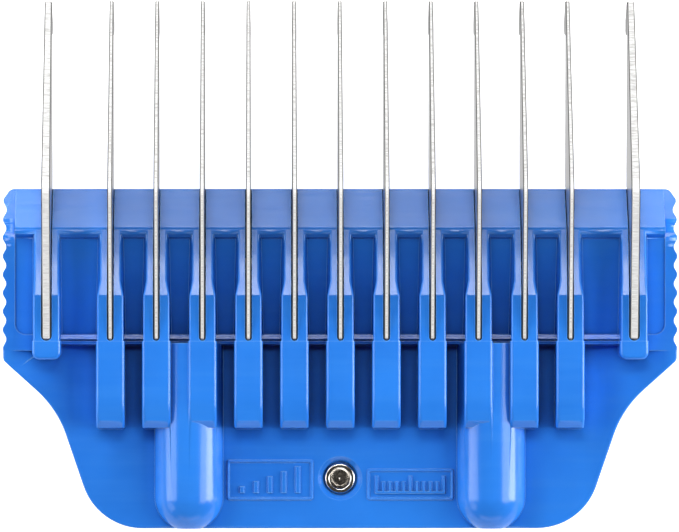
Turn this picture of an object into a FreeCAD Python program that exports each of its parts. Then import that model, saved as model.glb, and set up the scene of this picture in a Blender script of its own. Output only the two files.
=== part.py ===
"""Clipper guard comb: a blue moulded body with thirteen steel tines, and a sprung latch that grips a
clipper blade.

Modelled with X across the comb, Y from the rear edge towards the tine tips and Z up, away from the
blade. Z = 0 is the seat plane, where the comb lies on the blade. place() moves every piece to the part's
own frame, whose origin is the centre of the bottom of the whole comb at rest. Millimetres.
"""
import FreeCAD
import Part
import math
import os

V = FreeCAD.Vector

# Whole comb
HALF_WIDTH = 35.0
FRONT_Y = 35.3
TIP_Y = 55.0
GUIDE_HEIGHT = 10.0
FOOT_Z = -3.2

# Tines
TINE_PITCH = 4.76
INNER_TINES = 11
END_TINE_X = 30.4
INNER_THICKNESS = 0.5
END_THICKNESS = 0.9
SLOT_GAP = 0.1
SLOT_REAR_Y = 19.55
WEB_UNDER_TINE = 0.8
NOSE_Y = 51.5

# Front block
BLOCK_REAR_Y = 19.0
SEAT_REAR_Y = 21.5
CREST_Y = 31.1
CREST_Z = 5.4
FRONT_LIP_Z = 1.5
POCKET_FRONT_Y = 30.2
POCKET_REAR_Y = 20.15
FLOOR_Z = 4.0
FLOOR_FRONT_Z = 4.75
BAR_Z = 4.76
BAR_WIDTH = 0.5
STRIP_Z = 4.6
STRIP_INNER_X = 33.72
PANEL_DEPTH = 0.15
RELIEF = 0.3

# Ribs
RIB_TOP_Z = 7.1
RIB_HALF_BASE = 1.52
RIB_HALF_MID = 1.36
RIB_HALF_FRONT = 1.08
RIB_HALF_REAR = 1.48
RIB_REAR_Y = 10.3
END_RIB_REAR_Y = 17.6
RIB_STEP_Y = 19.5
RIB_SLOPE_Y = 24.25
RIB_EDGE_R = 0.36

# Finger grips
GRIP_VALLEYS = 8
GRIP_PITCH = 1.91
GRIP_FIRST_Y = 19.7
GRIP_R = 0.65

# Rear plate
PLATE_Z = 3.2
PLATE_EDGE_R = 0.18
SKIN = 1.6
SKIRT = 1.4

# Size marks
MARK_ROOT = 0.2
FRAME_RELIEF = 0.18
FRAME_CHAMFER = 0.1
MARK_RELIEF = 0.24
MARK_DRAFT = 0.08

# Spring covers
COVER_X = 15.7
COVER_R = 3.55
COVER_END_Y = 3.3
CHANNEL_R = 2.05
CHANNEL_Z = 3.7
CHANNEL_REAR_Y = 2.6
CHANNEL_FRONT_Y = 18.25

# Latch slider
SLIDER_Z = 0.72
SLIDER_T = 0.8
SLIDER_HALF_WIDTH = 19.4
SLIDER_REAR_Y = 4.7
SLIDER_FRONT_Y = 18.9
TONGUE_HALF_WIDTH = 9.0
SPRING_TAB_Y = 17.2
TRAVEL = 3.0
SLIDE_GAP = 0.15

# Springs
SPRING_OD = 3.8
SPRING_WIRE = 0.45
SPRING_TURNS = 9
PILOT_R = 1.0
PILOT_LENGTH = 1.8

# Rivet and rod
RIVET_Y = 5.2
RIVET_R = 1.2
RIVET_GAP = 0.03
RING_R = 1.6
CONE_R = 1.12
DISH_R = 3.2
DISH_RIM_R = 2.28
COUNTERBORE_R = 1.75
COUNTERBORE_Z = 2.55
WASHER_T = 0.22
HEAD_T = 0.4
ROD_R = 0.6
ROD_Y = 27.5
ROD_Z = 2.4
ROD_HALF_LENGTH = 32.4

TINE_XS = [TINE_PITCH * (i - INNER_TINES // 2) for i in range(INNER_TINES)]
TINE_XS = [-END_TINE_X] + TINE_XS + [END_TINE_X]

PLANES = {
    "xy": (lambda u, v, w: V(u, v, w), V(0, 0, 1)),
    "yz": (lambda u, v, w: V(w, u, v), V(1, 0, 0)),
    "xz": (lambda u, v, w: V(u, w, v), V(0, 1, 0)),
}


# ---------------------------------------------------------------- helpers
def rounded_edges(points, radii):
    """Edges of the closed outline through points, each corner rounded by a tangent arc of its radius."""
    count = len(points)
    starts, ends, arcs = [], [], []
    for i, here in enumerate(points):
        if radii[i] == 0:
            starts.append(here)
            ends.append(here)
            arcs.append(None)
            continue
        back = (points[i - 1] - here).normalize()
        ahead = (points[(i + 1) % count] - here).normalize()
        half_angle = back.getAngle(ahead) / 2
        reach = radii[i] / math.tan(half_angle)
        starts.append(here + back * reach)
        ends.append(here + ahead * reach)
        inward = (back + ahead).normalize()
        middle = here + inward * (radii[i] / math.sin(half_angle) - radii[i])
        arcs.append(Part.Arc(starts[i], middle, ends[i]).toShape())
    edges = []
    for i in range(count):
        if arcs[i] is not None:
            edges.append(arcs[i])
        following = starts[(i + 1) % count]
        if ends[i].distanceToPoint(following) > 1e-6:
            edges.append(Part.LineSegment(ends[i], following).toShape())
    return edges


def slab(corners, plane, low, high):
    """A prism: corners (u, v) or (u, v, radius) in the plane, from low to high along its normal."""
    to_3d, along = PLANES[plane]
    points = [to_3d(corner[0], corner[1], low) for corner in corners]
    radii = [corner[2] if len(corner) > 2 else 0 for corner in corners]
    face = Part.Face(Part.Wire(rounded_edges(points, radii)))
    return face.extrude(along * (high - low))


def box(x_low, x_high, y_low, y_high, z_low, z_high):
    size = (x_high - x_low, y_high - y_low, z_high - z_low)
    return Part.makeBox(*size, V(x_low, y_low, z_low))


def cylinder(radius, start, along, length):
    return Part.makeCylinder(radius, length, start, along)


def mirrored(shape):
    """The shape's reflection across the comb's middle plane."""
    return shape.mirror(V(0, 0, 0), V(1, 0, 0))


def both_sides(shape):
    return [shape, mirrored(shape)]


def filleted(shape, radius, wanted):
    """The shape with each edge that wanted(edge) picks rounded to the radius."""
    return shape.makeFillet(radius, [edge for edge in shape.Edges if wanted(edge)])


def united(shapes):
    return shapes[0].multiFuse(shapes[1:]).removeSplitter()


# ---------------------------------------------------------------- housing
def grip_side():
    """Corners of the plan outline's right side: rear corner, waist, shoulder, grip's wave, front corner.
    The wave is a zigzag with every corner rounded."""
    corners = [
        (25.16, 0.0, 6.5),
        (29.4, 12.44, 11.0),
        (HALF_WIDTH - 0.03, 17.5, 0.7),
        (HALF_WIDTH - 0.03, 18.9, 0.4),
    ]
    for i in range(GRIP_VALLEYS):
        valley_y = GRIP_FIRST_Y + i * GRIP_PITCH
        corners.append((HALF_WIDTH - 0.45, valley_y, GRIP_R))
        if i < GRIP_VALLEYS - 1:
            corners.append((HALF_WIDTH + 0.1, valley_y + GRIP_PITCH / 2, GRIP_R))
    return corners + [(HALF_WIDTH + 0.1, 34.1, 0.55), (HALF_WIDTH - 0.7, FRONT_Y, 0.8)]


def plan_outline():
    """The body's outline seen from above, as a tall prism."""
    right = grip_side()
    left = [(-x, y, radius) for x, y, radius in reversed(right)]
    return slab(right + left, "xy", -1, 12)


def block_profile(rear):
    """Side profile of the front block: seat, front lip, sloped band, crest, then what rear adds."""
    front = [
        (SEAT_REAR_Y, RELIEF),
        (SEAT_REAR_Y, 0),
        (FRONT_Y, 0),
        (FRONT_Y, FRONT_LIP_Z, 0.3),
        (CREST_Y, CREST_Z, 0.8),
    ]
    return front + rear + [(BLOCK_REAR_Y - 0.5, RELIEF)]


def front_block():
    """Band, crest, pocket floors and bar between the end ribs, a plain floor and grip strip beside them."""
    drop = [
        (CREST_Y - 0.5, CREST_Z - 0.06, 0.3),
        (POCKET_FRONT_Y + 0.05, FLOOR_FRONT_Z + 0.35, 0.05),
        (POCKET_FRONT_Y - 0.08, FLOOR_FRONT_Z, 0.08),
    ]
    bar_rear_y = POCKET_REAR_Y - BAR_WIDTH
    shelf_z = BAR_Z - 0.18
    bar = [
        (POCKET_REAR_Y, FLOOR_Z),
        (POCKET_REAR_Y, BAR_Z - 0.24, 0.05),
        (POCKET_REAR_Y - 0.25, BAR_Z - 0.05, 0.12),
        (bar_rear_y, BAR_Z, 0.08),
        (bar_rear_y, BAR_Z - 0.36),
        (bar_rear_y - 0.1, BAR_Z - 0.36),
        (bar_rear_y - 0.12, shelf_z, 0.1),
        (bar_rear_y - 0.5, shelf_z, 0.08),
        (BLOCK_REAR_Y, PLATE_Z),
        (BLOCK_REAR_Y - 0.5, PLATE_Z),
    ]
    wing = [
        (CREST_Y - 0.5, CREST_Z - 0.06, 0.15),
        (POCKET_FRONT_Y, STRIP_Z, 0.3),
        (BLOCK_REAR_Y - 0.5, STRIP_Z),
    ]
    core = slab(block_profile(drop + bar), "yz", -END_TINE_X, END_TINE_X)
    wings = both_sides(slab(block_profile(wing), "yz", END_TINE_X, STRIP_INNER_X))
    strip_profile = [
        (SEAT_REAR_Y, RELIEF),
        (SEAT_REAR_Y, 0),
        (FRONT_Y, 0),
        (FRONT_Y, FRONT_LIP_Z, 0.3),
        (CREST_Y - 0.2, STRIP_Z, 5.0),
        (BLOCK_REAR_Y - 0.5, STRIP_Z),
        (BLOCK_REAR_Y - 0.5, RELIEF),
    ]
    strips = both_sides(slab(strip_profile, "yz", STRIP_INNER_X, HALF_WIDTH + 1))
    panel_plan = [
        (END_TINE_X, POCKET_REAR_Y),
        (STRIP_INNER_X, POCKET_REAR_Y, 1.1),
        (STRIP_INNER_X, CREST_Y),
        (END_TINE_X, CREST_Y),
    ]
    panel_z = STRIP_Z - PANEL_DEPTH
    above = CREST_Z + 1
    crest_rear_y = CREST_Y - 0.5
    panel_side = [
        (POCKET_REAR_Y - 1, panel_z),
        (POCKET_FRONT_Y, panel_z, 0.12),
        (crest_rear_y, CREST_Z),
        (crest_rear_y, above),
        (POCKET_REAR_Y - 1, above),
    ]
    panel = slab(panel_plan, "xy", panel_z - 0.5, above).common(slab(panel_side, "yz", 25, 40))
    return united([core] + wings + strips).cut(both_sides(panel))


def beside_upright(edge, shape):
    """Whether an upright face of the shape ends at the edge."""
    middle = edge.valueAt((edge.FirstParameter + edge.LastParameter) / 2)
    for face in shape.ancestorsOfType(edge, Part.Face):
        normal = face.normalAt(*face.Surface.parameter(middle))
        if abs(normal.z) < 0.05:
            return True
    return False


def rear_plate():
    """Flat plate with a rounded outer top edge. Its outer front corners rise gently to the grip strips."""
    front_y = BLOCK_REAR_Y + 0.3
    flat = box(-HALF_WIDTH, HALF_WIDTH, -1, front_y, RELIEF, PLATE_Z)
    ramp_profile = [
        (25.0, RELIEF),
        (25.0, PLATE_Z),
        (26.6, PLATE_Z, 12.0),
        (34.0, STRIP_Z, 4.0),
        (HALF_WIDTH + 1, STRIP_Z),
        (HALF_WIDTH + 1, RELIEF),
    ]
    ramp = slab(ramp_profile, "xz", -1, front_y)
    plate = united([flat] + both_sides(ramp)).common(plan_outline())

    def on_outer_rim(edge):
        limits = edge.BoundBox
        behind_block = limits.ZMin > PLATE_Z - 1e-3 and limits.YMin < front_y - 1e-3
        return behind_block and beside_upright(edge, plate)

    return filleted(plate, PLATE_EDGE_R, on_outer_rim)


def spring_cover(x):
    """Half-capsule that roofs a spring's channel."""
    start = V(x, COVER_END_Y, PLATE_Z)
    barrel = cylinder(COVER_R, start, V(0, 1, 0), BLOCK_REAR_Y + 0.3 - COVER_END_Y)
    capsule = barrel.fuse(Part.makeSphere(COVER_R, start))
    return capsule.common(box(x - 5, x + 5, -5, 25, SKIN, 12))


def rib_rear(x):
    """The part of a rib behind the crease. Its top runs out to the rear, and its rim is rounded."""
    end_rib = is_end(x)
    rear_y = END_RIB_REAR_Y if end_rib else RIB_REAR_Y
    top = RIB_TOP_Z + 0.04
    base = PLATE_Z - 0.5
    if end_rib:
        profile = [(RIB_STEP_Y, base), (rear_y - 1, base), (rear_y - 1, top), (RIB_STEP_Y, top)]
    else:
        run_out = [(rear_y + 0.25, top - 1.0), (rear_y + 0.95, top - 0.32), (13.4, top, 8.0)]
        profile = [(RIB_STEP_Y, base), (rear_y, base)] + run_out + [(RIB_STEP_Y, top)]
    rib = slab(profile, "yz", x - RIB_HALF_REAR, x + RIB_HALF_REAR)
    corner_r = 0.75 if end_rib else 0.5
    plan = [
        (x - RIB_HALF_REAR, RIB_STEP_Y),
        (x - RIB_HALF_REAR, rear_y, corner_r),
        (x + RIB_HALF_REAR, rear_y, corner_r),
        (x + RIB_HALF_REAR, RIB_STEP_Y),
    ]
    rib = rib.common(slab(plan, "xy", base, top + 1))

    def on_rim(edge):
        limits = edge.BoundBox
        on_top = limits.ZMax > top - 0.4 and limits.ZLength < 1.2
        inside = limits.YMin < RIB_STEP_Y - 0.01 and limits.ZMin > base + 0.5
        across = limits.YLength < 1e-3 and limits.XLength > 1
        return on_top and inside and not (across and not end_rib)

    return filleted(rib, RIB_EDGE_R, on_rim)


def rib_front(x):
    """The part of a rib in front of the crease: narrow on the front slope, flared behind it."""
    profile = [
        (RIB_STEP_Y, FLOOR_Z - 1),
        (RIB_STEP_Y, RIB_TOP_Z),
        (RIB_SLOPE_Y, RIB_TOP_Z, 0.5),
        (RIB_SLOPE_Y + 3.4, RIB_TOP_Z - 0.76, 30.0),
        (CREST_Y - 0.1, CREST_Z - 0.02),
        (CREST_Y - 0.1, FLOOR_Z - 1),
    ]
    side = slab(profile, "yz", x - 3, x + 3)
    front_half = RIB_HALF_MID - 0.08 if is_end(x) else RIB_HALF_FRONT
    half = [
        (RIB_HALF_MID, RIB_STEP_Y),
        (RIB_HALF_MID, 24.2, 1.2),
        (front_half, 25.7, 1.2),
        (front_half, CREST_Y),
    ]
    plan = [(x + w, *rest) for w, *rest in half] + [(x - w, *rest) for w, *rest in reversed(half)]
    upper = side.common(slab(plan, "xy", 3, 9))

    def on_top_rim(edge):
        limits = edge.BoundBox
        return limits.ZMin > FLOOR_Z - 0.5 and limits.XLength < 0.5 and limits.YLength > 0.05

    upper = filleted(upper, 0.2, on_top_rim)
    foot_section = [
        (x - RIB_HALF_BASE, FLOOR_Z - 1),
        (x - RIB_HALF_BASE, FLOOR_Z),
        (x - front_half, FLOOR_Z + 1.6),
        (x + front_half, FLOOR_Z + 1.6),
        (x + RIB_HALF_BASE, FLOOR_Z),
        (x + RIB_HALF_BASE, FLOOR_Z - 1),
    ]
    foot = slab(foot_section, "xz", RIB_STEP_Y, CREST_Y - 0.6)
    low_profile = [(u, v - 0.05, *rest) for u, v, *rest in profile]
    foot = foot.common(slab(low_profile, "yz", x - 3, x + 3))
    return upper.fuse(foot)


def is_end(x):
    return abs(x) == END_TINE_X


def half_thickness(x):
    """Half the thickness of the tine at x."""
    return (END_THICKNESS if is_end(x) else INNER_THICKNESS) / 2


def tine_slot(x):
    """Cutters for a tine's slot: shallow at its rounded rear end, then down to the web under the tine."""
    half = half_thickness(x) + SLOT_GAP
    rear_r = half * 0.98
    past_front = FRONT_Y + 5
    above = RIB_TOP_Z + 5
    plan = [
        (x - half, SLOT_REAR_Y, rear_r),
        (x + half, SLOT_REAR_Y, rear_r),
        (x + half, past_front),
        (x - half, past_front),
    ]
    shallow = slab(plan, "xy", PLATE_Z, above)
    deep = box(x - half, x + half, SEAT_REAR_Y - 0.1, past_front, WEB_UNDER_TINE - 0.02, above)
    return [shallow, deep]


def underside_cells():
    """Cores between the tine webs, open below, that keep the moulding's walls even."""
    web_half = 1.2
    profile = [(22.8, -1), (33.6, -1), (33.6, 0.9), (CREST_Y, 3.5, 0.4), (22.8, 3.3, 0.4)]
    cells = []
    for left, right in zip(TINE_XS[:-1], TINE_XS[1:]):
        cells.append(slab(profile, "yz", left + web_half, right - web_half))
    outer = slab(profile, "yz", END_TINE_X + web_half + 0.2, STRIP_INNER_X - 0.3)
    return cells + both_sides(outer)


def latch_cavity():
    """The flat space for the slider under the rear plate, its way out behind, and the spring channels."""
    wide = SLIDER_HALF_WIDTH + SLIDE_GAP
    tongue = TONGUE_HALF_WIDTH + SLIDE_GAP
    cutters = [
        box(-wide, wide, SKIRT, BLOCK_REAR_Y + 0.3, -1, SKIN),
        box(-tongue, tongue, -1, SKIRT, -1, SKIN),
    ]
    length = CHANNEL_FRONT_Y - CHANNEL_REAR_Y
    for x in (-COVER_X, COVER_X):
        bore = cylinder(CHANNEL_R, V(x, CHANNEL_REAR_Y, CHANNEL_Z), V(0, 1, 0), length)
        mouth = box(x - CHANNEL_R, x + CHANNEL_R, CHANNEL_REAR_Y, CHANNEL_FRONT_Y, 0, CHANNEL_Z)
        cutters += [bore, mouth]
    return cutters


def side_hollows():
    """Hollows under the plate's flanks, inside its perimeter skirt."""
    inner_x = SLIDER_HALF_WIDTH + 1.4
    front_y = BLOCK_REAR_Y - 0.8
    corners = [
        (inner_x, SKIRT, 0.5),
        (22.6, SKIRT, 1.2),
        (25.6, 5.5, 1.2),
        (27.4, 11.5, 3.0),
        (31.6, 16.2, 0.6),
        (31.6, front_y, 0.5),
        (inner_x, front_y, 0.5),
    ]
    return both_sides(slab(corners, "xy", -1, SKIN))


def spring_pilots():
    """Short pins on the rear walls of the channels, which centre the springs."""
    pilots = []
    for x in (-COVER_X, COVER_X):
        root = V(x, CHANNEL_REAR_Y - 0.2, CHANNEL_Z)
        pilots.append(cylinder(PILOT_R, root, V(0, 1, 0), PILOT_LENGTH))
    return pilots


def label_frame(x_low, x_high, y_low, y_high):
    """A thin raised rim with a chamfered top on the rear plate."""
    line = 0.3
    radius = 0.25
    outer = [
        (x_low, y_low, radius),
        (x_high, y_low, radius),
        (x_high, y_high, radius),
        (x_low, y_high, radius),
    ]
    inner = [
        (x_low + line, y_low + line, radius / 2),
        (x_high - line, y_low + line, radius / 2),
        (x_high - line, y_high - line, radius / 2),
        (x_low + line, y_high - line, radius / 2),
    ]
    rim = slab(outer, "xy", PLATE_Z - MARK_ROOT, PLATE_Z + FRAME_RELIEF)
    rim = rim.cut(slab(inner, "xy", PLATE_Z - 1, PLATE_Z + 1))
    top_edges = [edge for edge in rim.Edges if edge.BoundBox.ZMin > PLATE_Z + FRAME_RELIEF - 1e-3]
    return rim.makeChamfer(FRAME_CHAMFER, top_edges)


def mark(x, half_width, y_low, y_high):
    """One raised bar with drafted sides on the rear plate."""
    top = half_width - MARK_DRAFT / 2
    foot = half_width + MARK_DRAFT
    section = [
        (x - foot, PLATE_Z - MARK_ROOT),
        (x - foot, PLATE_Z),
        (x - top, PLATE_Z + MARK_RELIEF),
        (x + top, PLATE_Z + MARK_RELIEF),
        (x + foot, PLATE_Z),
        (x + foot, PLATE_Z - MARK_ROOT),
    ]
    return slab(section, "xz", y_low, y_high)


def size_marks():
    """Plain size marks: five rising bars in the left frame, a ten-step scale in the right one."""
    marks = [label_frame(-11.78, -2.8, 2.92, 7.13), label_frame(2.8, 11.83, 2.92, 6.18)]
    foot_y = 3.7
    for i in range(5):
        marks.append(mark(-10.2 + i * 1.45, 0.22, foot_y, 4.35 + i * 0.52))
    middle, step = 7.3, 0.7
    marks.append(mark(middle, 3.6, foot_y - 0.08, foot_y + 0.16))
    for i in range(11):
        height = 1.75 if i % 5 == 0 else 1.15
        marks.append(mark(middle + (i - 5) * step, 0.13, foot_y, foot_y + height))
    return marks


def rivet_recess():
    """Cutters for the dish round the rivet, the flat ring under its rolled end, and its hole."""
    floor = V(0, RIVET_Y, COUNTERBORE_Z)
    centre_z = PLATE_Z + math.sqrt(DISH_R ** 2 - DISH_RIM_R ** 2)
    ball = Part.makeSphere(DISH_R, V(0, RIVET_Y, centre_z))
    dish = ball.common(cylinder(DISH_R, floor, V(0, 0, 1), 2 * DISH_R))
    ring = cylinder(COUNTERBORE_R, floor, V(0, 0, 1), DISH_R)
    hole = cylinder(RIVET_R + RIVET_GAP, V(0, RIVET_Y, -1), V(0, 0, 1), 6)
    return [dish, ring, hole]


def comb_housing():
    outline = plan_outline()
    base = united([front_block(), rear_plate()]).common(outline)
    raised = [spring_cover(-COVER_X), spring_cover(COVER_X)]
    for x in TINE_XS:
        raised += [rib_front(x), rib_rear(x)]
    body = base.fuse(raised).common(outline).fuse(size_marks())
    cutters = underside_cells() + latch_cavity() + side_hollows()
    for x in TINE_XS:
        cutters += tine_slot(x)
    rod_bore = cylinder(ROD_R, V(-ROD_HALF_LENGTH, ROD_Y, ROD_Z), V(1, 0, 0), 2 * ROD_HALF_LENGTH)
    body = body.cut(cutters + [rod_bore] + rivet_recess())
    return body.fuse(spring_pilots())


# ---------------------------------------------------------------- steel parts
def tine(x):
    """A plate tine: its top edge is the guide, its lower edge lies on the blade, its nose hooks over it."""
    lift = WEB_UNDER_TINE
    rear = SLOT_REAR_Y + 0.1
    profile = [
        (rear, PLATE_Z + 0.1, 0.2),
        (rear, RIB_TOP_Z, 0.25),
        (23.5, 7.9, 20.0),
        (35.3, GUIDE_HEIGHT + 0.2, 4.0),
        (TIP_Y - 0.15, 0.5, 0.5),
        (TIP_Y + 0.06, -1.2, 1.0),
        (53.0, FOOT_Z, 0.6),
        (51.9, FOOT_Z, 0.2),
        (NOSE_Y, -2.5, 0.3),
        (NOSE_Y, 0, 0.3),
        (FRONT_Y + 0.15, 0, 0.2),
        (FRONT_Y + 0.15, lift),
        (SEAT_REAR_Y, lift),
        (SEAT_REAR_Y, PLATE_Z + 0.1),
    ]
    half = half_thickness(x)
    plate = slab(profile, "yz", x - half, x + half)
    tip = half * 0.8
    plan = [
        (x - half, rear, half * 0.9),
        (x + half, rear, half * 0.9),
        (x + half, 37),
        (x + tip, TIP_Y, tip * 0.9),
        (x - tip, TIP_Y, tip * 0.9),
        (x - half, 37),
    ]
    plate = plate.common(slab(plan, "xy", -5, 12))
    hole = cylinder(ROD_R, V(x - 1, ROD_Y, ROD_Z), V(1, 0, 0), 2)
    return plate.cut(hole)


def tine_rod():
    return cylinder(ROD_R, V(-ROD_HALF_LENGTH, ROD_Y, ROD_Z), V(1, 0, 0), 2 * ROD_HALF_LENGTH)


def latch_slider():
    """Flat plate with a front hook, a rear thumb tab, two spring tabs and the rivet's slot."""
    top = SLIDER_Z + SLIDER_T
    wide = SLIDER_HALF_WIDTH
    tongue = TONGUE_HALF_WIDTH
    hook_half = 10.0
    plan = [
        (-wide, SLIDER_REAR_Y, 0.6),
        (-tongue, SLIDER_REAR_Y, 0.5),
        (-tongue, 0.5),
        (tongue, 0.5),
        (tongue, SLIDER_REAR_Y, 0.5),
        (wide, SLIDER_REAR_Y, 0.6),
        (wide, 18.2, 0.6),
        (hook_half, 18.2, 0.3),
        (hook_half, SLIDER_FRONT_Y),
        (-hook_half, SLIDER_FRONT_Y),
        (-hook_half, 18.2, 0.3),
        (-wide, 18.2, 0.6),
    ]
    plate = slab(plan, "xy", SLIDER_Z, top)
    hook_profile = [
        (17.2, SLIDER_Z),
        (18.1, SLIDER_Z, 0.3),
        (18.1, FOOT_Z, 1.1),
        (21.2, FOOT_Z, 0.3),
        (21.2, FOOT_Z + SLIDER_T, 0.3),
        (18.9, FOOT_Z + SLIDER_T, 0.3),
        (18.9, top, 1.1),
        (17.2, top),
    ]
    hook = slab(hook_profile, "yz", -hook_half, hook_half)
    tab_profile = [
        (2.2, top),
        (0.35, top, 1.1),
        (0.35, FOOT_Z + 0.6, 0.3),
        (1.15, FOOT_Z + 0.6, 0.3),
        (1.15, SLIDER_Z, 0.3),
        (2.2, SLIDER_Z),
    ]
    plate = plate.cut(box(-tongue - 1, tongue + 1, -2, 2.0, -1, 3)).cut(box(-11, 11, 17.5, 20, -1, 3))
    tab = slab(tab_profile, "yz", -tongue, tongue)
    slider = united([plate, hook, tab])
    window_half = 1.9
    for x in (-COVER_X, COVER_X):
        window = box(x - window_half, x + window_half, SPRING_TAB_Y - 3.4, SPRING_TAB_Y, 0, 2)
        tab_front_y = SPRING_TAB_Y + SLIDER_T
        spring_tab = box(x - 1.5, x + 1.5, SPRING_TAB_Y, tab_front_y, SLIDER_Z, CHANNEL_Z + 1.2)
        slider = slider.cut(window).fuse(spring_tab)
    slot_half = RIVET_R + 0.1
    slot_end_r = slot_half * 0.99
    slot_rear_y = RIVET_Y - slot_half
    slot_front_y = RIVET_Y + TRAVEL + slot_half
    slot_plan = [
        (-slot_half, slot_rear_y, slot_end_r),
        (slot_half, slot_rear_y, slot_end_r),
        (slot_half, slot_front_y, slot_end_r),
        (-slot_half, slot_front_y, slot_end_r),
    ]
    return slider.cut(slab(slot_plan, "xy", 0, 2)).removeSplitter()


def coil_spring(x):
    """Compression spring along Y between the channel's rear wall and the slider's tab. Its wire is an
    octagon of the round wire's area."""
    radius = (SPRING_OD - SPRING_WIRE) / 2
    length = SPRING_TAB_Y - CHANNEL_REAR_Y - 0.04
    pitch = (length - SPRING_WIRE) / SPRING_TURNS
    sides = 8
    corner_r = SPRING_WIRE / 2 * math.sqrt(2 * math.pi / (sides * math.sin(2 * math.pi / sides)))
    turn = [2 * math.pi * i / sides for i in range(sides + 1)]
    corners = [V(radius + corner_r * math.cos(a), 0, corner_r * math.sin(a)) for a in turn]
    section = Part.makePolygon(corners)
    helix = Part.makeHelix(pitch, pitch * SPRING_TURNS, radius)
    coil = Part.Wire(helix).makePipeShell([section], True, True)
    coil.rotate(V(0, 0, 0), V(1, 0, 0), -90)
    coil.translate(V(x, CHANNEL_REAR_Y + 0.02 + SPRING_WIRE / 2, CHANNEL_Z))
    return coil


def rivet():
    """Semi-tubular rivet: flat head under the slider, hollow end rolled over in the housing's dish."""
    head_top = SLIDER_Z - 0.02 - WASHER_T
    head_low = head_top - HEAD_T
    ring_top = COUNTERBORE_Z + 0.45
    head_r = 2.3
    outline = [
        (0, head_low),
        (head_r, head_low, 0.15),
        (head_r, head_top),
        (RIVET_R, head_top),
        (RIVET_R, COUNTERBORE_Z),
        (RING_R, COUNTERBORE_Z, 0.2),
        (RING_R, ring_top, 0.24),
        (CONE_R, ring_top, 0.15),
        (0.62, 1.9),
        (0, 1.45),
    ]
    points = [V(r, 0, z) for r, z, *rest in outline]
    radii = [corner[2] if len(corner) > 2 else 0 for corner in outline]
    face = Part.Face(Part.Wire(rounded_edges(points, radii)))
    body = face.revolve(V(0, 0, 0), V(0, 0, 1), 360)
    body.translate(V(0, RIVET_Y, 0))
    return body


def washer():
    low = V(0, RIVET_Y, SLIDER_Z - 0.01 - WASHER_T)
    disc = cylinder(2.7, low, V(0, 0, 1), WASHER_T)
    return disc.cut(cylinder(RIVET_R + 0.05, low, V(0, 0, 1), WASHER_T))


# ---------------------------------------------------------------- hand-over
def place(shape):
    """From the modelling axes to the part's own frame."""
    shape.translate(V(0, -TIP_Y / 2, -FOOT_Z))
    return shape


def main():
    parts = {"comb_housing": comb_housing()}
    for i, x in enumerate(TINE_XS):
        parts["tine_%02d" % (i + 1)] = tine(x)
    parts["tine_rod"] = tine_rod()
    parts["latch_slider"] = latch_slider()
    parts["spring_left"] = coil_spring(-COVER_X)
    parts["spring_right"] = coil_spring(COVER_X)
    parts["rivet"] = rivet()
    parts["washer"] = washer()
    os.makedirs("parts", exist_ok=True)
    for name, shape in parts.items():
        facts = (name, len(shape.Solids), shape.isValid(), shape.Volume)
        print("%-14s solids %d valid %s volume %.2f" % facts)
        place(shape).exportStep("parts/%s.step" % name)


main()
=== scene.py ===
"""Clipper guard comb: looks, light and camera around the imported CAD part."""

import bpy
import math
from mathutils import Matrix, Vector


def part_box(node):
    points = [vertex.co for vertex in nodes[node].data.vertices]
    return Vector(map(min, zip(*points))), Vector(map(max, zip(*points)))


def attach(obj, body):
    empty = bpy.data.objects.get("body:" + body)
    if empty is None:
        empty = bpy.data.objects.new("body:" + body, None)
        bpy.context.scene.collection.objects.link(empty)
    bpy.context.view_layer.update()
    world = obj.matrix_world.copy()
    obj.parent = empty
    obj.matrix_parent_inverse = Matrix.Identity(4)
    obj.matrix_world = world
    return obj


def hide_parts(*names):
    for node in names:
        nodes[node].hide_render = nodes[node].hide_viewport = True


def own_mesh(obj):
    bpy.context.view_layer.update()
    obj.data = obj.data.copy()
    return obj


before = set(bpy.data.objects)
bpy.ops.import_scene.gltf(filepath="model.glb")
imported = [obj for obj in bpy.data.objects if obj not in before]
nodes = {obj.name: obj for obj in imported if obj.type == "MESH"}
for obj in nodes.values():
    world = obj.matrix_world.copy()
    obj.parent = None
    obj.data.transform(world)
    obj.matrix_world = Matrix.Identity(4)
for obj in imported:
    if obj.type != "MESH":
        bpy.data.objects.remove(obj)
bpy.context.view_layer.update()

MM = 0.001
TINES = ["tine_%02d" % number for number in range(1, 14)]
INNER_TINES = TINES[1:-1]
END_TINES = [TINES[0], TINES[-1]]

# Plates of the tines: where they stand, how thick they are, and where they taper
INNER_LOW, INNER_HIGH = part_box(INNER_TINES[5])
END_LOW, END_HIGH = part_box(END_TINES[1])
INNER_HALF = (INNER_HIGH.x - INNER_LOW.x) / 2
END_HALF = (END_HIGH.x - END_LOW.x) / 2
TINE_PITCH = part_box(INNER_TINES[6])[0].x - INNER_LOW.x
END_TINE_X = (END_HIGH.x + END_LOW.x) / 2
TAPER_TO_Y = INNER_HIGH.y
TAPER_FROM_Y = TAPER_TO_Y - 18.0 * MM
TAPER_SHARE = 0.2

# Painted shade along a tine's arris, inwards from its flank, and the heights between which painted shade
# darkens its flank towards the bottom
ARRIS_STARTS = 0.095 * MM
ARRIS_FULL = 0.050 * MM
ARRIS_RAGGED = 0.035 * MM
LOW_SHADE_FROM_Z = 4.4 * MM
LOW_SHADE_TO_Z = 3.5 * MM

# Rivet's hollow: the heights between which painted shade darkens its wall, and where below its floor that
# ends
RIVET_TOP_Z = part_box("rivet")[1].z
HOLLOW_HIGH = RIVET_TOP_Z - 0.06 * MM
HOLLOW_LOW = RIVET_TOP_Z - 0.30 * MM
HOLLOW_FLOOR = RIVET_TOP_Z - 1.6 * MM
HOLLOW_FADE = 0.1 * MM

# Photograph's view: almost straight down, a little from the left
CAMERA_AT = Vector((-9.0, -0.15, 702.0)) * MM
LOOK_AT = Vector((-0.08, -0.23, 8.2)) * MM
LENS_MM = 354.8
SENSOR_MM = 36.0

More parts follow.
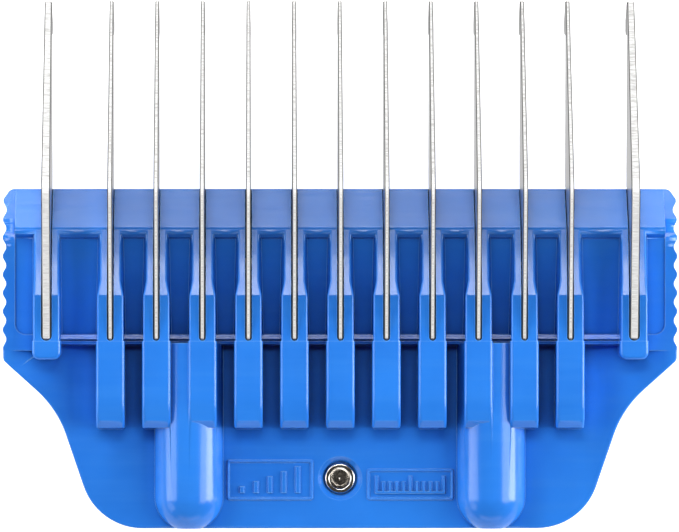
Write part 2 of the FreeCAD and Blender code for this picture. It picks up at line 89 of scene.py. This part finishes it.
# Softboxes' distance, and the brightness of the tent's cloth and of the table that the steel reflects
SOFTBOX_DISTANCE = 0.60
TENT_LIGHT = 0.05
TABLE_LIGHT = 0.85
TABLE_FADE = 0.10

# Floor's side, and how far it lies under the comb
FLOOR_SIZE = 3.0
FLOOR_GAP = 0.02 * MM

# Points of a CAD mesh closer than this are one point to the shading
WELD_WITHIN = 0.001 * MM

# Colour sockets of a Mix node, which have the same names as its sockets for numbers
MIX_COLOURS = (6, 7)
MIX_RESULT = 2


# ---------------------------------------------------------------- shader helpers
class Shader:
    """A material being built: short calls for its nodes and links."""

    def __init__(self, name):
        self.material = bpy.data.materials.new(name)
        self.material.use_nodes = True
        self.tree = self.material.node_tree
        self.tree.nodes.clear()
        self.out = self.tree.nodes.new("ShaderNodeOutputMaterial")
        self.bsdf = self.tree.nodes.new("ShaderNodeBsdfPrincipled")
        self.link(self.bsdf.outputs["BSDF"], self.out.inputs["Surface"])
        self.object_place = self.tree.nodes.new("ShaderNodeTexCoord").outputs["Object"]

    def link(self, source, target):
        self.tree.links.new(source, target)

    def node(self, kind, **settings):
        made = self.tree.nodes.new("ShaderNode" + kind)
        for name, value in settings.items():
            setattr(made, name, value)
        return made

    def set(self, **values):
        """Fixed values on the shader's own sockets, with _ for a space."""
        for name, value in values.items():
            self.bsdf.inputs[name.replace("_", " ")].default_value = value

    def stretched(self, scale):
        """Object coordinates multiplied by scale (x, y, z)."""
        mapping = self.node("Mapping")
        mapping.inputs["Scale"].default_value = scale
        self.link(self.object_place, mapping.inputs["Vector"])
        return mapping.outputs["Vector"]

    def noise(self, scale, detail=2.0, rough=0.5, place=None):
        made = self.node("TexNoise")
        made.inputs["Scale"].default_value = scale
        made.inputs["Detail"].default_value = detail
        made.inputs["Roughness"].default_value = rough
        self.link(place or self.object_place, made.inputs["Vector"])
        return made.outputs["Fac"]

    def ramp(self, value, low, high, to_low=0.0, to_high=1.0):
        made = self.node("MapRange")
        for name, number in zip(("From Min", "From Max", "To Min", "To Max"), (low, high, to_low, to_high)):
            made.inputs[name].default_value = number
        self.link(value, made.inputs["Value"])
        return made.outputs["Result"]

    def maths(self, operation, first, second=0.0):
        """Result of a sum on numbers or sockets. ABSOLUTE has no use for the second."""
        made = self.node("Math", operation=operation)
        for socket, value in zip(made.inputs, (first, second)):
            if isinstance(value, (int, float)):
                socket.default_value = value
            else:
                self.link(value, socket)
        return made.outputs["Value"]

    def mix(self, amount, first, second):
        """Colour between first and second, each a colour or a socket."""
        made = self.node("Mix", data_type="RGBA")
        self.link(amount, made.inputs["Factor"])
        for index, value in zip(MIX_COLOURS, (first, second)):
            if isinstance(value, tuple):
                made.inputs[index].default_value = (*value, 1.0)
            else:
                self.link(value, made.inputs[index])
        return made.outputs[MIX_RESULT]

    def bump(self, heights):
        """Chained bumps: each (height socket, depth in metres)."""
        normal = None
        for height, depth in heights:
            made = self.node("Bump")
            made.inputs["Strength"].default_value = 1.0
            made.inputs["Distance"].default_value = depth
            self.link(height, made.inputs["Height"])
            if normal is not None:
                self.link(normal, made.inputs["Normal"])
            normal = made.outputs["Normal"]
        self.link(normal, self.bsdf.inputs["Normal"])

    def edge_mask(self, radius, low, high):
        """1 on edges sharper than the radius, 0 on faces."""
        bevel = self.node("Bevel", samples=4)
        bevel.inputs["Radius"].default_value = radius
        geometry = self.node("NewGeometry")
        dot = self.node("VectorMath", operation="DOT_PRODUCT")
        self.link(bevel.outputs["Normal"], dot.inputs[0])
        self.link(geometry.outputs["Normal"], dot.inputs[1])
        return self.ramp(dot.outputs["Value"], high, low)

    def openness(self, reach):
        """How open the surface is to its surroundings within reach: 0 deep in a crevice, 1 in the open."""
        made = self.node("AmbientOcclusion", samples=6)
        made.inputs["Distance"].default_value = reach
        return made.outputs["AO"]

    def place(self, axis):
        """Position along X, Y or Z on the object, in metres."""
        parts = self.node("SeparateXYZ")
        self.link(self.object_place, parts.inputs["Vector"])
        return parts.outputs[axis]

    def facing(self, axis):
        """How squarely the surface faces along X, Y or Z, from 0 to 1."""
        geometry = self.node("NewGeometry")
        parts = self.node("SeparateXYZ")
        self.link(geometry.outputs["Normal"], parts.inputs["Vector"])
        return self.maths("ABSOLUTE", parts.outputs[axis])


# ---------------------------------------------------------------- materials
def blue_plastic():
    """Moulded semi-gloss blue: cloudy, with flow streaks, grain, scuffs, painted shade in crevices, and
    edges pale partly from wear and partly from painted highlight.
    """
    shader = Shader("blue_plastic")
    cloud = shader.ramp(shader.noise(95.0, 3.0), 0.35, 0.65)
    streaks = shader.noise(60.0, 3.0, place=shader.stretched((1.0, 14.0, 14.0)))
    grain = shader.noise(9000.0, 2.0)
    scuffs = shader.noise(800.0, 4.0, 0.65, place=shader.stretched((1.0, 0.25, 1.0)))
    tone = shader.mix(cloud, (0.022, 0.198, 0.760), (0.027, 0.236, 0.860))
    tone = shader.mix(shader.ramp(streaks, 0.45, 0.70, 0.0, 0.30), tone, (0.042, 0.262, 0.820))
    # Painted shade: the colour turns much darker where ambient occlusion finds a crevice or a narrow gap.
    deep = shader.mix(cloud, (0.006, 0.045, 0.240), (0.008, 0.055, 0.280))
    tone = shader.mix(shader.ramp(shader.openness(2.6 * MM), 0.22, 0.64), deep, tone)
    wear = shader.ramp(scuffs, 0.3, 0.7, 0.35, 0.80)
    # Edges paler partly from scuff wear and partly as a painted highlight along every rim.
    worn_and_highlit_edges = shader.maths("MULTIPLY", shader.edge_mask(0.16 * MM, 0.80, 0.985), wear)
    tone = shader.mix(worn_and_highlit_edges, tone, (0.26, 0.60, 1.0))
    shader.link(tone, shader.bsdf.inputs["Base Color"])
    shader.link(shader.ramp(scuffs, 0.35, 0.75, 0.17, 0.28), shader.bsdf.inputs["Roughness"])
    shader.set(IOR=1.50)
    shader.bump([(grain, 0.0010 * MM), (streaks, 0.012 * MM), (scuffs, 0.0020 * MM)])
    return shader.material


def tine_steel(name, off_centre, half):
    """Plate steel: satin ground edges with painted shade on the arrises, streaky rolled flanks darkened
    towards the bottom with painted shade.

    off_centre(shader) gives the distance from the plate's middle. half is half the plate's thickness."""
    shader = Shader(name)
    grinding = shader.noise(1.0, 3.0, 0.7, place=shader.stretched((700.0, 6500.0, 3500.0)))
    ground = shader.ramp(grinding, 0.35, 0.60)
    rolled = shader.noise(1.0, 4.0, 0.6, place=shader.stretched((300.0, 160.0, 2600.0)))
    flank = shader.ramp(shader.facing("X"), 0.80, 0.98)
    slope = shader.ramp(shader.facing("Y"), 0.20, 0.45)
    taper = shader.ramp(shader.place("Y"), TAPER_FROM_Y, TAPER_TO_Y, 0.0, TAPER_SHARE * half)
    ragged = shader.ramp(grinding, 0.3, 0.7, 0.0, ARRIS_RAGGED)
    outwards = shader.maths("ADD", shader.maths("ADD", off_centre(shader), taper), ragged)
    arris = shader.ramp(outwards, half - ARRIS_STARTS, half - ARRIS_FULL)
    # Painted shade: the flank turns dark grey towards the bottom.
    low_flank_shade = shader.ramp(shader.place("Z"), LOW_SHADE_FROM_Z, LOW_SHADE_TO_Z)
    bright = shader.mix(ground, (0.76, 0.75, 0.74), (0.98, 0.98, 0.97))
    polished = shader.mix(ground, (0.50, 0.49, 0.48), (0.84, 0.84, 0.83))
    streaky = shader.mix(shader.ramp(rolled, 0.30, 0.70), (0.46, 0.46, 0.465), (0.64, 0.64, 0.645))
    streaky = shader.mix(low_flank_shade, streaky, (0.20, 0.20, 0.20))
    # Painted shade: the arris is painted near black.
    arris_shade = shader.mix(ground, (0.012, 0.012, 0.012), (0.06, 0.06, 0.06))
    edges = shader.mix(arris, shader.mix(slope, bright, polished), arris_shade)
    shader.link(shader.mix(flank, edges, streaky), shader.bsdf.inputs["Base Color"])
    shader.link(shader.ramp(flank, 0.0, 1.0, 0.50, 0.30), shader.bsdf.inputs["Roughness"])
    shader.link(shader.ramp(flank, 0.0, 1.0, 0.30, 1.0), shader.bsdf.inputs["Metallic"])
    shader.bump([(grinding, 0.003 * MM), (rolled, 0.001 * MM)])
    return shader.material


def from_inner_tine(shader):
    """Distance across from the middle of the nearest inner tine."""
    shifted = shader.maths("ADD", shader.place("X"), TINE_PITCH / 2)
    within = shader.maths("FLOORED_MODULO", shifted, TINE_PITCH)
    return shader.maths("ABSOLUTE", shader.maths("SUBTRACT", within, TINE_PITCH / 2))


def from_end_tine(shader):
    """Distance across from the middle of the nearer end tine."""
    outward = shader.maths("ABSOLUTE", shader.place("X"))
    return shader.maths("ABSOLUTE", shader.maths("SUBTRACT", outward, END_TINE_X))


def brushed_steel(name, dark, light, brushed_along, roughness=0.28):
    """Sheet or wire steel with brush lines along one axis (X, Y or Z)."""
    shader = Shader(name)
    fine, coarse = 5200.0, 180.0
    scale = tuple(coarse if axis == brushed_along else fine for axis in "XYZ")
    lines = shader.noise(1.0, 3.0, 0.6, place=shader.stretched(scale))
    stains = shader.noise(260.0, 3.0)
    shader.link(shader.mix(shader.ramp(stains, 0.3, 0.7), dark, light), shader.bsdf.inputs["Base Color"])
    shader.link(shader.ramp(lines, 0.3, 0.7, roughness, roughness + 0.12), shader.bsdf.inputs["Roughness"])
    shader.set(Metallic=1.0)
    shader.bump([(lines, 0.003 * MM)])
    return shader.material


def rivet_nickel():
    """Bright nickel plate with a little tarnish, with painted shade in the hollow of the rolled end."""
    shader = Shader("rivet_nickel")
    tarnish = shader.ramp(shader.noise(900.0, 3.0), 0.4, 0.7)
    fine = shader.noise(5200.0, 2.0)
    depth = shader.ramp(shader.place("Z"), HOLLOW_HIGH, HOLLOW_LOW)
    above_head = shader.ramp(shader.place("Z"), HOLLOW_FLOOR - HOLLOW_FADE, HOLLOW_FLOOR)
    hollow = shader.maths("MULTIPLY", depth, above_head)
    clean = shader.mix(tarnish, (0.86, 0.84, 0.80), (0.62, 0.56, 0.48))
    # Painted shade: the wall of the hollow is painted darker.
    hollow_shade = shader.mix(tarnish, (0.74, 0.71, 0.67), (0.48, 0.45, 0.41))
    shader.link(shader.mix(hollow, clean, hollow_shade), shader.bsdf.inputs["Base Color"])
    shader.link(shader.ramp(fine, 0.3, 0.7, 0.12, 0.24), shader.bsdf.inputs["Roughness"])
    shader.set(Metallic=1.0)
    shader.bump([(fine, 0.002 * MM)])
    return shader.material


def floor_white():
    """Plain white studio paper, lit enough to stay white."""
    shader = Shader("floor_white")
    fibres = shader.noise(900.0, 2.0)
    paper = shader.mix(fibres, (0.86, 0.86, 0.86), (0.90, 0.90, 0.90))
    shader.link(paper, shader.bsdf.inputs["Base Color"])
    shader.set(Roughness=0.9, Emission_Color=(1.0, 1.0, 1.0, 1.0), Emission_Strength=0.85)
    return shader.material


def paint(material, *names):
    for name in names:
        slots = nodes[name].data.materials
        slots.clear()
        slots.append(material)


# ---------------------------------------------------------------- pieces
def smooth_cad(node):
    """Weights the node's shading by face area, so that its rounded edges blend into its flats."""
    weld = node.modifiers.new("weld", "WELD")
    weld.merge_threshold = WELD_WITHIN
    weighted = node.modifiers.new("weighted", "WEIGHTED_NORMAL")
    weighted.weight = 80
    weighted.keep_sharp = True


def coil(name, steel):
    """Round-wire compression spring in a CAD spring's place: open turns between two closed end turns."""
    low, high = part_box(name)
    wire = 0.225 * MM
    centre = (low + high) / 2
    radius = (high.x - low.x) / 2 - wire
    start, length = low.y + wire, high.y - low.y - 2 * wire
    turns, closed, per_turn = 10.5, 1.0, 28
    count = int(turns * per_turn)
    curve = bpy.data.curves.new(name + "_coil", "CURVE")
    curve.dimensions = "3D"
    curve.bevel_depth = wire
    curve.bevel_resolution = 4
    curve.use_fill_caps = True
    spline = curve.splines.new("POLY")
    spline.points.add(count)
    open_pitch = (length - 2 * closed * 2 * wire) / (turns - 2 * closed)
    for i, point in enumerate(spline.points):
        turn = i / per_turn
        in_first = min(turn, closed)
        in_last = max(0.0, turn - (turns - closed))
        along = (in_first + in_last) * 2 * wire + (turn - in_first - in_last) * open_pitch
        angle = 2 * math.pi * turn
        place = centre + Vector((radius * math.cos(angle), 0, radius * math.sin(angle)))
        point.co = (place.x, start + along, place.z, 1.0)
    made = bpy.data.objects.new(name + "_wire", curve)
    bpy.context.scene.collection.objects.link(made)
    made.data.materials.append(steel)
    bpy.context.view_layer.update()
    mesh = bpy.data.meshes.new_from_object(made.evaluated_get(bpy.context.evaluated_depsgraph_get()))
    bpy.data.objects.remove(made)
    solid = bpy.data.objects.new(name + "_wire", mesh)
    bpy.context.scene.collection.objects.link(solid)
    for face in mesh.polygons:
        face.use_smooth = True
    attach(solid, "comb")
    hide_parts(name)
    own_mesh(solid)


# ---------------------------------------------------------------- studio
def studio_floor():
    bpy.ops.mesh.primitive_plane_add(size=FLOOR_SIZE, location=(0, 0, -FLOOR_GAP))
    floor = bpy.context.object
    floor.name = "studio_floor"
    floor.data.materials.append(floor_white())
    floor.visible_glossy = False


def softbox(name, azimuth, elevation, width, height, brightness):
    """Soft area light of width and height, aimed at the comb: azimuth in degrees from +Y towards +X."""
    light = bpy.data.lights.new(name, "AREA")
    light.shape = "RECTANGLE"
    light.size, light.size_y = width, height
    light.energy = brightness * math.pi * width * height
    lamp = bpy.data.objects.new(name, light)
    around, up = math.radians(azimuth), math.radians(elevation)
    level = math.cos(up)
    back = Vector((math.sin(around) * level, math.cos(around) * level, math.sin(up)))
    side = Vector((0, 0, 1)).cross(back).normalized()
    lamp.location = back * SOFTBOX_DISTANCE
    lamp.rotation_mode = "QUATERNION"
    lamp.rotation_quaternion = Matrix((side, back.cross(side), back)).transposed().to_quaternion()
    lamp.visible_camera = False
    bpy.context.scene.collection.objects.link(lamp)


def lighting():
    """Softboxes round the comb: strong ones left, right and in front, weak ones behind."""
    softbox("front_softbox", 0, 12, 0.34, 0.17, 5.6)
    softbox("front_top_softbox", 0, 65, 0.24, 0.12, 10.0)
    softbox("front_left_softbox", 328, 20, 0.26, 0.22, 5.6)
    softbox("front_left_top_softbox", 312, 38, 0.30, 0.18, 4.6)
    softbox("left_softbox", 268, 20, 0.26, 0.25, 4.6)
    softbox("left_top_softbox", 270, 39, 0.30, 0.14, 3.5)
    softbox("right_softbox", 90, 16, 0.28, 0.30, 10.0)
    softbox("right_top_softbox", 90, 42, 0.42, 0.22, 4.4)
    softbox("left_rear_softbox", 240, 17, 0.24, 0.24, 1.8)
    softbox("rear_softbox", 180, 9, 0.60, 0.16, 1.4)


def tent():
    """World: a dim tent above, and the pale table below it, for what the steel reflects."""
    world = bpy.data.worlds.new("tent")
    world.use_nodes = True
    tree = world.node_tree
    height = tree.nodes.new("ShaderNodeSeparateXYZ")
    tree.links.new(tree.nodes.new("ShaderNodeTexCoord").outputs["Generated"], height.inputs["Vector"])
    table_edge = tree.nodes.new("ShaderNodeMapRange")
    sockets = {"From Min": -TABLE_FADE, "From Max": 0.0, "To Min": TABLE_LIGHT, "To Max": TENT_LIGHT}
    for name, value in sockets.items():
        table_edge.inputs[name].default_value = value
    tree.links.new(height.outputs["Z"], table_edge.inputs["Value"])
    tree.links.new(table_edge.outputs["Result"], tree.nodes["Background"].inputs["Strength"])
    tree.nodes["Background"].inputs["Color"].default_value = (1.0, 1.0, 1.0, 1.0)
    bpy.context.scene.world = world


def camera():
    data = bpy.data.cameras.new("camera")
    data.sensor_width = SENSOR_MM
    data.lens = LENS_MM
    data.clip_start, data.clip_end = 0.01, 10.0
    made = bpy.data.objects.new("camera", data)
    back = (CAMERA_AT - LOOK_AT).normalized()
    right = Vector((0, 1, 0)).cross(back).normalized()
    made.location = CAMERA_AT
    made.rotation_mode = "QUATERNION"
    made.rotation_quaternion = Matrix((right, back.cross(right), back)).transposed().to_quaternion()
    bpy.context.scene.collection.objects.link(made)
    bpy.context.scene.camera = made


# ---------------------------------------------------------------- scene
paint(blue_plastic(), "comb_housing")
paint(tine_steel("tine_steel", from_inner_tine, INNER_HALF), *INNER_TINES)
paint(tine_steel("end_tine_steel", from_end_tine, END_HALF), *END_TINES)
paint(brushed_steel("slider_steel", (0.50, 0.50, 0.50), (0.66, 0.66, 0.65), "X"), "latch_slider")
paint(brushed_steel("rod_steel", (0.42, 0.42, 0.43), (0.60, 0.60, 0.60), "X"), "tine_rod")
paint(rivet_nickel(), "rivet", "washer")
for cad_node in nodes.values():
    smooth_cad(cad_node)
spring_steel = brushed_steel("spring_steel", (0.36, 0.36, 0.37), (0.52, 0.52, 0.53), "Y", 0.22)
for spring in ("spring_left", "spring_right"):
    coil(spring, spring_steel)

studio_floor()
lighting()
tent()
camera()
bpy.context.scene.view_settings.view_transform = "Standard"
